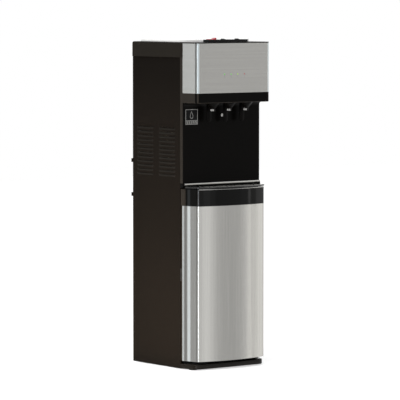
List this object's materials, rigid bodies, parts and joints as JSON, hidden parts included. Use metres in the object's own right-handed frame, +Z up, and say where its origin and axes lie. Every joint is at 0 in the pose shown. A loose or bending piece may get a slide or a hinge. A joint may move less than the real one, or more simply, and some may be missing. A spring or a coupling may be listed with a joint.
{
  "type": "water cooler",
  "caption": "Tall free-standing bottleless water cooler with an open dispensing niche, push levers, drip tray, stainless head and a bowed stainless door over its filter bay.",
  "frame": {"origin": "on the floor, in the middle of the overall width and depth", "axes": "+Z up; +X to the right as seen from the front; the door and niche face -Y"},
  "size_m": [0.3112, 0.354, 1.0539],
  "materials": {
    "painted_sheet": "satin dark brown-black powder coat",
    "galvanised_sheet": "bare galvanised sheet",
    "black_plastic": "moulded black ABS",
    "cover_plastic": "moulded black ABS, fine grain",
    "gloss_black": "polished black ABS",
    "brushed_stainless": "brushed stainless steel",
    "plain_steel": "plain bright steel",
    "green_lens": "clear green lens, lit",
    "red_lens": "clear red lens, lit",
    "circuit_board": "solder mask",
    "sticker": "printed film",
    "rubber": "moulded rubber",
    "white_plastic": "moulded white plastic",
    "red_plastic": "moulded red plastic",
    "black_enamel": "black enamel",
    "copper": "drawn copper-coloured tube"
  },
  "bodies": {
    "cabinet": {"base_plinth": "black_plastic", "feet": "rubber", "side_panel_left": "painted_sheet", "side_panel_right": "painted_sheet", "rear_panel": "painted_sheet", "bay_partition": "galvanised_sheet", "top_cover": "cover_plastic", "fascia_housing": "black_plastic", "fascia_skin": "brushed_stainless", "status_lenses": "green_lens", "heat_lens": "red_lens", "indicator_board": "circuit_board", "niche_panel": "gloss_black", "niche_sticker": "sticker", "tray_shelf": "gloss_black", "spout_left": "gloss_black", "spout_middle": "gloss_black", "spout_right": "gloss_black", "lever_pins": "plain_steel", "lever_switches": "black_plastic", "switch_bezel": "black_plastic", "switch_bodies": "black_plastic", "catch_magnet": "black_plastic", "hinge_pins": "plain_steel", "filter_bracket": "galvanised_sheet", "filter_heads": "white_plastic", "inlet_fitting": "white_plastic", "inlet_valve": "white_plastic", "cord_gland": "black_plastic", "drain_outlets": "black_plastic", "cold_tank": "plain_steel", "hot_tank": "plain_steel", "tank_foam": "white_plastic", "compressor": "black_enamel", "compressor_mounts": "rubber", "condenser": "black_enamel", "condenser_rails": "black_enamel", "refrigerant_lines": "copper", "water_lines": "white_plastic", "rear_screws": "plain_steel"},
    "door": {"door_skin": "brushed_stainless", "door_panel": "black_plastic", "door_top_cap": "gloss_black", "door_bottom_cap": "black_plastic", "hinge_bushes": "white_plastic", "strike_plate": "plain_steel"},
    "tray": {"drip_tray": "gloss_black"},
    "grille": {"drip_grille": "brushed_stainless"},
    "lid": {"top_lid": "cover_plastic"},
    "left_lever": {"lever_left": "gloss_black"},
    "middle_lever": {"lever_middle": "gloss_black"},
    "right_lever": {"lever_right": "gloss_black"},
    "lock_slider": {"child_lock": "white_plastic"},
    "left_rocker": {"rocker_left": "red_plastic"},
    "middle_rocker": {"rocker_middle": "black_plastic"},
    "right_rocker": {"rocker_right": "black_plastic"},
    "left_filter": {"filter_left": "white_plastic"},
    "right_filter": {"filter_right": "white_plastic"},
    "left_drain_cap": {"drain_cap_left": "black_plastic"},
    "right_drain_cap": {"drain_cap_right": "black_plastic"}
  },
  "joints": [
    {"name": "door_hinge", "type": "hinge", "parent": "cabinet", "child": "door", "pos_m": [0.142, -0.102, 0.303], "axis": [0, 0, 1], "range_deg": [0, 110]},
    {"name": "left_lever_push", "type": "hinge", "parent": "cabinet", "child": "left_lever", "pos_m": [-0.066, -0.1195, 0.8585], "axis": [1, 0, 0], "range_deg": [0, 8], "stiffness_Nm_per_rad": 0.4, "springref_deg": -2.86},
    {"name": "middle_lever_push", "type": "hinge", "parent": "cabinet", "child": "middle_lever", "pos_m": [0, -0.1195, 0.8585], "axis": [1, 0, 0], "range_deg": [0, 8], "stiffness_Nm_per_rad": 0.4, "springref_deg": -2.86},
    {"name": "right_lever_push", "type": "hinge", "parent": "cabinet", "child": "right_lever", "pos_m": [0.066, -0.1195, 0.8585], "axis": [1, 0, 0], "range_deg": [0, 8], "stiffness_Nm_per_rad": 0.4, "springref_deg": -2.86},
    {"name": "lock_slide", "type": "slide", "parent": "cabinet", "child": "lock_slider", "axis": [1, 0, 0], "range_m": [0, 0.006]},
    {"name": "tray_lift", "type": "slide", "parent": "cabinet", "child": "tray", "axis": [0, 0, 1], "range_m": [0, 0.06]},
    {"name": "grille_lift", "type": "slide", "parent": "tray", "child": "grille", "axis": [0, 0, 1], "range_m": [0, 0.03]},
    {"name": "lid_lift", "type": "slide", "parent": "cabinet", "child": "lid", "axis": [0, 0, 1], "range_m": [0, 0.04]},
    {"name": "left_rocker_tilt", "type": "hinge", "parent": "cabinet", "child": "left_rocker", "pos_m": [-0.056, -0.12, 1.043], "axis": [0, 1, 0], "range_deg": [0, 16]},
    {"name": "middle_rocker_tilt", "type": "hinge", "parent": "cabinet", "child": "middle_rocker", "pos_m": [0, -0.12, 1.043], "axis": [0, -1, 0], "range_deg": [0, 16]},
    {"name": "right_rocker_tilt", "type": "hinge", "parent": "cabinet", "child": "right_rocker", "pos_m": [0.056, -0.12, 1.043], "axis": [0, -1, 0], "range_deg": [0, 16]},
    {"name": "left_filter_twist", "type": "hinge", "parent": "cabinet", "child": "left_filter", "pos_m": [-0.055, -0.044, 0.0003], "axis": [0, 0, 1], "range_deg": [0, 90]},
    {"name": "right_filter_twist", "type": "hinge", "parent": "cabinet", "child": "right_filter", "pos_m": [0.055, -0.044, 0.0003], "axis": [0, 0, 1], "range_deg": [0, 90]},
    {"name": "left_cap_turn", "type": "hinge", "parent": "cabinet", "child": "left_drain_cap", "pos_m": [-0.03, 0.15, 0.12], "axis": [0, 1, 0], "range_deg": [0, 360]},
    {"name": "right_cap_turn", "type": "hinge", "parent": "cabinet", "child": "right_drain_cap", "pos_m": [0.03, 0.15, 0.12], "axis": [0, 1, 0], "range_deg": [0, 360]}
  ]
}
